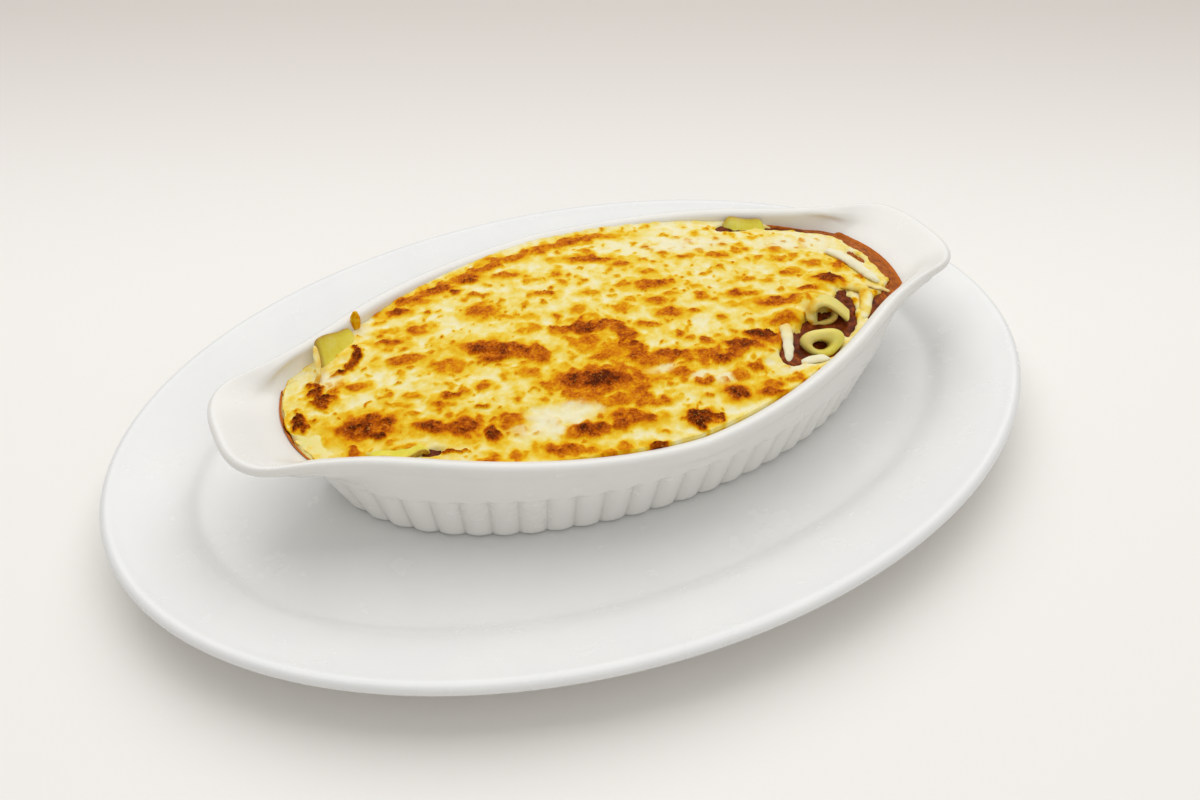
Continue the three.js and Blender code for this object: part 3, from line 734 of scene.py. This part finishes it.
def addStrands(bm, brownLayer, milkLayer):
    noise.seed_set(cheese["seed"])                          # noise_vector starts from the clock otherwise
    for strand in cheeseStrands:
        made = addStrand(bm, strand["points"], strand["radius"], strand.get("taper", 0))
        for number, vert in enumerate(made):
            baked = strand.get("bakedTop", 0) * max(0, 1 - 1.5 * number / len(made))
            vert.co += noise.noise_vector(vert.co * 0.4) * 0.4
            vert[milkLayer] = strand["milk"] * (1 - min(1, 2 * baked))
            vert[brownLayer] = baked + strand["brown"] * (1 + 1.5 * noise.noise(vert.co * 0.3))


def addCrumb(bm, brownLayer):
    crumb = bmesh.ops.create_icosphere(bm, subdivisions=3, radius=1.0)["verts"]
    for vert in crumb:
        knob = 1 + 0.12 * noise.noise(vert.co * 2)
        shaped = Vector([part * size for part, size in zip(vert.co, cheeseCrumb["size"])])
        vert.co = shaped * knob + Vector(cheeseCrumb["place"])
        vert[brownLayer] = cheeseCrumb["brown"] + 0.2 * noise.noise(vert.co)


def makeCheese():
    bm, x, y = foodGrid(cheese["columns"], cheese["rows"])
    away, share = wallDistance(x, y)
    cover = coverOf(x, y, away, share)
    wavyX = x + 1.6 * noiseField(x, y, 0.26, 7.0, 2)
    wavyY = y + 1.6 * noiseField(x, y, 0.26, 17.0, 2)
    broad = noiseField(x, y, 0.06, 1.0, 2)
    lumps = noiseField(x, y, 0.26, 5.0, 4)
    crisp = noiseField(x, y, 0.8, 9.0, 4)
    brown, rise = brownedField(wavyX, wavyY, lumps)
    swelling = np.zeros_like(x)
    for swell in cheeseSwells:
        swelling = np.maximum(swelling, swell[5] * smooth(1.3, 0.1, ellipseAway(x, y, *swell[:5])))
    wallBake = smooth(-94, -104, x) * smooth(2, 0.5, away)
    brown = np.maximum(brown, 0.62 * wallBake)
    milk = np.zeros_like(x)
    for patch in whitePatches:
        milk = np.maximum(milk, smooth(1.3, 0.4, ellipseAway(wavyX, wavyY, *patch)))
    milk = np.clip(milk * (0.8 + 0.9 * lumps), 0, 1)
    golden = 0.12 + 0.1 * broad + 0.15 * lumps - 0.04 * smooth(15, 45, y)
    brown = np.maximum(brown + 0.12 * lumps + 0.12 * crisp * smooth(0.4, 0.75, brown), golden)
    brown = np.clip(brown * (1 - 0.35 * milk), 0, 1)
    relief = 0.5 * broad + 0.4 * lumps + rise + crisp * (0.04 + 0.6 * smooth(0.5, 0.85, brown))
    climb = 0.5 * smooth(2.5, 0, away)
    top = foodTop(x, y)
    height = top + np.minimum(relief, cheese["highest"]) * (1 - swelling / 9) + swelling + climb
    z = mix(top - cheese["thickness"], height, np.sqrt(cover))
    leaning = endLean(x, np.clip(top - z, 0, 4), away)
    brownLayer = bm.verts.layers.float.new("brown")
    milkLayer = bm.verts.layers.float.new("milk")
    for vert, place, toast, pale in zip(bm.verts, zip(x * leaning, y * leaning, z), brown, milk):
        vert.co = place
        vert[brownLayer] = toast
        vert[milkLayer] = pale
    bmesh.ops.remove_doubles(bm, verts=bm.verts, dist=0.005)
    closeBelow(bm, lambda x, y: float(foodTop(x, y)) - cheese["thickness"] - cheese["skirt"])
    addStrands(bm, brownLayer, milkLayer)
    addCrumb(bm, brownLayer)
    finish = cheeseFinish()
    finishPiece("browned_cheese_top", bm, toFrame, ["cheese_topping"], finish.material)


makeCheese()


# Meat sauce

sauce = {
    "depth": 0.9, "columns": 300, "rows": 150, "mince": 0.75, "hiddenBelow": 0.9,
    # rings down the dish's inside: reach, share of the food's edge added to it, and height
    "sideRings": [(0, 0.3, 26), (0, 0, dish["cavityMiddle"]), (-9.4, 0, 5.8)],
}


def sauceFinish():
    finish = Finish("meat sauce", IOR=1.4, Specular_IOR_Level=0.14)
    lumps = finish.grain(420, detail=4)
    cells = finish.cells(380)
    edge = finish.attribute("edge")
    meat = finish.ramp(lumps * 0.75 + cells * 0.35, [
        (0.25, paint(52, 15, 2)), (0.45, paint(88, 32, 5)), (0.65, paint(126, 54, 10)),
        (0.9, paint(176, 96, 28)),
    ])
    finish.use("Base Color", finish.blend(edge, meat, paint(200, 108, 22)))
    finish.use("Roughness", 0.26 + lumps * 0.25)
    finish.relief(lumps + cells * 0.6, 0.0006, 0.6)
    return finish


def makeSauce():
    bm, x, y = foodGrid(sauce["columns"], sauce["rows"])
    away, share = wallDistance(x, y)
    cover = coverOf(x, y, away, share)
    mince = noiseField(x, y, 0.42, 21.0, 3) + 0.5 * noiseField(x, y, 1.1, 22.0, 2)
    calm = smooth(1.5, 8, away)
    climb = 0.9 * smooth(1.5, 0, away)
    top = foodTop(x, y)
    shown = top - sauce["depth"] + sauce["mince"] * mince * calm + climb
    hidden = top - cheese["thickness"] - sauce["hiddenBelow"]
    z = mix(shown, hidden, smooth(0.55, 1, cover))
    rightEnd = smooth(95, 103, x + 4 * mince) * (0.5 + 0.5 * mince)
    edge = np.maximum(smooth(2.2, 0.3, away + 0.8 * mince), rightEnd)
    leaning = endLean(x, np.clip(top - z - 1.6, 0, 4), away)
    edgeLayer = bm.verts.layers.float.new("edge")
    for vert, place, baked in zip(bm.verts, zip(x * leaning, y * leaning, z), edge):
        vert.co = place
        vert[edgeLayer] = baked
    bmesh.ops.remove_doubles(bm, verts=bm.verts, dist=0.005)
    rim = [item for item in bm.edges if item.is_boundary]
    for reach, shareOfEdge, level in sauce["sideRings"]:
        grown = bmesh.ops.extrude_edge_only(bm, edges=rim)["geom"]
        lowered = [item for item in grown if isinstance(item, bmesh.types.BMVert)]
        places = np.array([vert.co for vert in lowered])
        shares = wallDistance(places[:, 0], places[:, 1])[1]
        for vert, x, y in zip(lowered, *wallPoint(shares, reach + shareOfEdge * cavityEdge(shares)[0])):
            vert.co = (x, y, level)
        rim = [item for item in grown if isinstance(item, bmesh.types.BMEdge) and item.is_boundary]
    bmesh.ops.holes_fill(bm, edges=[item for item in bm.edges if item.is_boundary], sides=0)
    bmesh.ops.triangulate(bm, faces=[face for face in bm.faces if len(face.verts) > 4])
    bmesh.ops.recalc_face_normals(bm, faces=bm.faces)
    finishPiece("meat_sauce_filling", bm, toFrame, ["meat_sauce"], sauceFinish().material)


makeSauce()


# Pasta sheets

pasta = {"thickness": 1.7, "columns": 120, "rows": 44, "edgeGap": 1.5}

# Each lift of a sheet's edge: side, middle, half length, height, where it starts, power and tilt
upperSheet = {
    "name": "upper_pasta_sheet", "node": "pasta_sheet_upper",
    "start": -98, "end": 86, "front": 34, "back": 44, "wallGap": 2.2, "depth": 6.25,
    "lifts": [(1, -91, 8.5, 12.9, 0.5, 2.2, -0.195), (1, 79, 7, 9.4, 0.72, 1.6, 0),
              (-1, -89, 9.5, 7.2, 0.45, 0.9, 0)],
    "ruffle": 0.6, "leftRise": 0,
}

lowerSheet = {
    "name": "lower_pasta_sheet", "node": "pasta_sheet_lower",
    "start": -116, "end": 78, "front": 46, "back": 40, "wallGap": 3.5, "depth": 9.95,
    "lifts": [(-1, 62, 9, 6.5, 0.6, 1.3, 0)],
    "ruffle": 0.8, "leftRise": 8.9,
}

# The upper sheet's end stands up in an arch with a drooping tongue: points along its front edge
pastaArch = {
    "edge": [(66.4, -30.6, 33.3), (65.6, -30.1, 36.2), (65.6, -29.7, 38.8), (67.3, -29.8, 40.4),
             (69.8, -30.4, 40.6), (72.2, -32.2, 39.4), (74.4, -34.2, 37.4), (76.4, -35.8, 35.2)],
    # The arch's pale value of 0.6 is painted light: it lightens a face that lies in shade
    "back": (4.8, 6.4, 0), "drop": 1.2, "steps": 6, "toast": 0.1, "film": 0.6,
}

# The fold under the arch
pastaFold = {
    "edge": [(73.6, -32.4, 37.4), (72.4, -33.4, 35.8), (70, -33.2, 34.6), (67, -32, 33.9),
             (63.6, -30.4, 33.4)],
    "back": (2.5, 5, 0), "drop": 3.5, "steps": 4, "toast": 0.55, "film": 0.4,
}

# The lower sheet's end rolls into a loop: its middle, half sizes, the hollow in it, and the share
# of the way out and the depth of each ring of its lip
pastaLoop = {
    "middle": (60, -44, 37), "faces": (-27.4, 42), "halfWidth": 6.5, "halfHeight": 4.3, "turn": 6,
    "hollowWidth": 3.5, "hollowHeight": 2.3, "hollowShift": (-0.8, -0.8),
    "profile": [(0, -9), (0, -3), (0.06, -0.6), (0.3, 0.3), (0.6, 0.5), (0.85, 0.1), (1, -1),
                (1.04, -3), (1, -6)],
}


def pastaFinish():
    finish = Finish("egg pasta", Subsurface_Weight=0.25, Subsurface_Scale=0.0015, IOR=1.4,
                    Specular_IOR_Level=0.2)
    streaks = finish.grain(160, detail=3)
    fine = finish.grain(700, detail=3)
    toast = finish.attribute("toast")
    film = finish.attribute("film")
    base = finish.ramp(streaks * 0.7 + fine * 0.3, [
        (0.3, paint(224, 208, 62)), (0.5, paint(234, 222, 84)), (0.75, paint(242, 233, 140)),
    ])
    # Pale blend: real thin film at the sheet's left end, and painted light on the arch and on the loop's
    # upper side
    base = finish.blend(film * (0.6 + streaks * 0.6), base, paint(243, 226, 150))
    # Brown blend: real toasting at the sheet edges, and painted shade in the loop's hollow and on its lower
    # side
    finish.use("Base Color", finish.blend(toast * (0.4 + fine), base, paint(150, 84, 20)))
    finish.use("Roughness", 0.22 + fine * 0.2)
    finish.relief(streaks + fine * 0.4, 0.0003, 0.4)
    return finish


def addArch(bm, arch, brownTintAndShadeLayer, paleFilmAndLightLayer):
    line = [bm.verts.new(point) for point in smoothPath(arch["edge"], 5)]
    edges = [bm.edges.new(pair) for pair in zip(line, line[1:])]
    for vert in line:
        vert[brownTintAndShadeLayer] = arch["toast"]
        vert[paleFilmAndLightLayer] = arch["film"]
    for step in range(arch["steps"]):
        grown = bmesh.ops.extrude_edge_only(bm, edges=edges)["geom"]
        ring = [item for item in grown if isinstance(item, bmesh.types.BMVert)]
        edges = [item for item in grown if isinstance(item, bmesh.types.BMEdge)
                 and all(vert in ring for vert in item.verts)]
        fall = arch["drop"] * (2 * step + 1) / arch["steps"] ** 2
        for vert in ring:
            vert.co += Vector(arch["back"]) / arch["steps"] - Vector((0, 0, fall))
            vert[brownTintAndShadeLayer] = arch["toast"] * 0.6


def addLoop(bm, loop, brownTintAndShadeLayer, paleFilmAndLightLayer):
    azimuth, elevation = (math.radians(angle) for angle in loop["faces"])
    facing = Vector((math.sin(azimuth) * math.cos(elevation), -math.cos(azimuth) * math.cos(elevation),
                     math.sin(elevation)))
    place = (Matrix.Translation(loop["middle"]) @ facing.to_track_quat("Z", "Y").to_matrix().to_4x4()
             @ Matrix.Rotation(math.radians(loop["turn"]), 4, "Z"))
    ring = bmesh.ops.create_circle(bm, segments=40, radius=1.0)["verts"]
    edges = list(dict.fromkeys(edge for vert in ring for edge in vert.link_edges))
    for index, (share, depth) in enumerate(loop["profile"]):
        if index:
            grown = bmesh.ops.extrude_edge_only(bm, edges=edges)["geom"]
            ring = [item for item in grown if isinstance(item, bmesh.types.BMVert)]
            edges = [item for item in grown if isinstance(item, bmesh.types.BMEdge) and item.is_boundary]
        for number, vert in enumerate(ring):
            angle = 2 * math.pi * number / len(ring)
            wave = 1 + 0.04 * math.sin(2 * angle + 0.4) + 0.1 * math.sin(3 * angle)
            wide = mix(loop["hollowWidth"], loop["halfWidth"] * wave, share)
            high = mix(loop["hollowHeight"], loop["halfHeight"] * wave, share)
            across = wide * math.cos(angle) + loop["hollowShift"][0] * (1 - share)
            upward = high * math.sin(angle) + loop["hollowShift"][1] * (1 - share)
            vert.co = place @ Vector((across, upward, depth))
            # Painted shade: the brown tint darkens the lip's rings towards the hollow and on the lower left
            # of the loop
            vert[brownTintAndShadeLayer] = 0.8 * max(0, 0.3 - share) + 0.16 * max(0, -math.cos(angle - 0.5))
            # Painted light: the pale value makes the upper left of the loop lighter and the lower right
            # darker, as lit and shaded sides
            vert[paleFilmAndLightLayer] = 0.4 + 0.3 * math.sin(angle - 0.5)


def makePasta(sheet, addEnd, ends, material):
    bm = bmesh.new()
    bmesh.ops.create_grid(bm, x_segments=pasta["columns"], y_segments=pasta["rows"], size=1)
    brownTintAndShadeLayer = bm.verts.layers.float.new("toast")
    paleFilmAndLightLayer = bm.verts.layers.float.new("film")
    bend = food["columnBend"]
    along = np.sin(np.array([vert.co.x for vert in bm.verts]) * bend) / math.sin(bend)
    across = np.sin(np.array([vert.co.y for vert in bm.verts]) * bend) / math.sin(bend)
    x = sheet["start"] + (along + 1) / 2 * (sheet["end"] - sheet["start"])
    widest = np.where(across < 0, sheet["front"], sheet["back"])
    half = np.minimum(widest, rimHalfWidth(x) - dish["wall"] - sheet["wallGap"])
    half = np.minimum(half, np.maximum(foodHalfWidth(x) - pasta["edgeGap"], 2))
    y = across * half
    lift = sheet["ruffle"] * np.sin(x * 0.45) * np.abs(across) ** 6
    lift = lift + sheet["leftRise"] * smooth(94, 109, -x)
    for side, centre, span, height, root, power, tilt in sheet["lifts"]:
        lengthwise = np.exp(-((x - centre) / span) ** 12) * (1 + tilt * (x - centre) / span)
        lift = lift + height * lengthwise * np.clip((across * side - root) / (1 - root), 0, 1) ** power
    z = foodTop(x, y) - sheet["depth"] + lift
    border = np.maximum(np.abs(across), -along)
    toast = 0.8 * smooth(0.975, 1, border)
    film = smooth(-96, -104, x) * smooth(4, 8, lift)
    for vert, place, edge, pale in zip(bm.verts, zip(x, y, z), toast, film):
        vert.co = place
        vert[brownTintAndShadeLayer] = edge
        vert[paleFilmAndLightLayer] = pale
    for end in ends:
        addEnd(bm, end, brownTintAndShadeLayer, paleFilmAndLightLayer)
    bmesh.ops.recalc_face_normals(bm, faces=bm.faces)
    piece = finishPiece(sheet["name"], bm, toFrame, [sheet["node"]], material)
    wall = piece.modifiers.new("thickness", "SOLIDIFY")
    wall.thickness = pasta["thickness"] / 1000
    wall.offset = 0
    rounded = piece.modifiers.new("rounded", "SUBSURF")
    rounded.levels = 1
    rounded.render_levels = 1


pastaMaterial = pastaFinish().material
makePasta(upperSheet, addArch, [pastaArch, pastaFold], pastaMaterial)
makePasta(lowerSheet, addLoop, [pastaLoop], pastaMaterial)


# Floor, light and camera

# The far floor colour and its fade are painted shade towards the back of the floor
studio = {
    "floor": (247, 244, 239), "shadedFarFloor": (208, 200, 193), "floorSize": 12,
    "behind": (0.46, 0.887, 0), "shadeFade": (0.05, 0.5), "world": (1.0, 0.99, 0.975), "worldStrength": 0.4,
    "key": {"size": 2.0, "power": 19.7, "place": (0.26, 0.58, 1.4)},
    "fill": {"size": 1.6, "power": 3.4, "place": (-0.1, -1.02, 1.1)},
}

view = {
    "target": (0.01074, 0.01326, 0), "azimuth": -27.4, "elevation": 39.41,
    "distance": 0.4582, "lens": 36, "sensor": 36,
}


def makeFloor():
    bm = bmesh.new()
    bmesh.ops.create_grid(bm, x_segments=8, y_segments=8, size=studio["floorSize"])
    mesh = bpy.data.meshes.new("floor")
    bm.to_mesh(mesh)
    bm.free()
    floor = bpy.data.objects.new("floor", mesh)
    bpy.context.scene.collection.objects.link(floor)
    finish = Finish("pale table", Roughness=0.6)
    # Painted shade: the floor's colour darkens from near to far along the view direction, standing in for
    # light falling off towards the back
    behind = finish.node("ShaderNodeVectorMath", {"operation": "DOT_PRODUCT"},
                         {0: finish.place, 1: studio["behind"]}, output="Value")
    near, far = paint(*studio["floor"]), paint(*studio["shadedFarFloor"])
    finish.use("Base Color", finish.blend(finish.within(behind, *studio["shadeFade"]), near, far))
    mesh.materials.append(finish.material)


def makeLight():
    world = bpy.data.worlds.new("studio")
    world.use_nodes = True
    background = world.node_tree.nodes["Background"]
    background.inputs["Color"].default_value = (*studio["world"], 1)
    background.inputs["Strength"].default_value = studio["worldStrength"]
    bpy.context.scene.world = world
    for name in ("key", "fill"):
        light = studio[name]
        lamp = bpy.data.lights.new(name, "AREA")
        lamp.shape = "SQUARE"
        lamp.size = light["size"]
        lamp.energy = light["power"]
        box = bpy.data.objects.new(name, lamp)
        box.location = light["place"]
        box.rotation_euler = (-Vector(light["place"])).to_track_quat("-Z", "Y").to_euler()
        bpy.context.scene.collection.objects.link(box)


def makeCamera():
    azimuth, elevation = math.radians(view["azimuth"]), math.radians(view["elevation"])
    back = Vector((math.sin(azimuth) * math.cos(elevation), -math.cos(azimuth) * math.cos(elevation),
                   math.sin(elevation)))
    lens = bpy.data.cameras.new("camera")
    lens.lens = view["lens"]
    lens.sensor_width = view["sensor"]
    camera = bpy.data.objects.new("camera", lens)
    camera.location = Vector(view["target"]) + back * view["distance"]
    camera.rotation_euler = (-back).to_track_quat("-Z", "Y").to_euler()
    bpy.context.scene.collection.objects.link(camera)
    bpy.context.scene.camera = camera
    bpy.context.scene.view_settings.view_transform = "Standard"


makeFloor()
makeLight()
makeCamera()
print("studio ready")
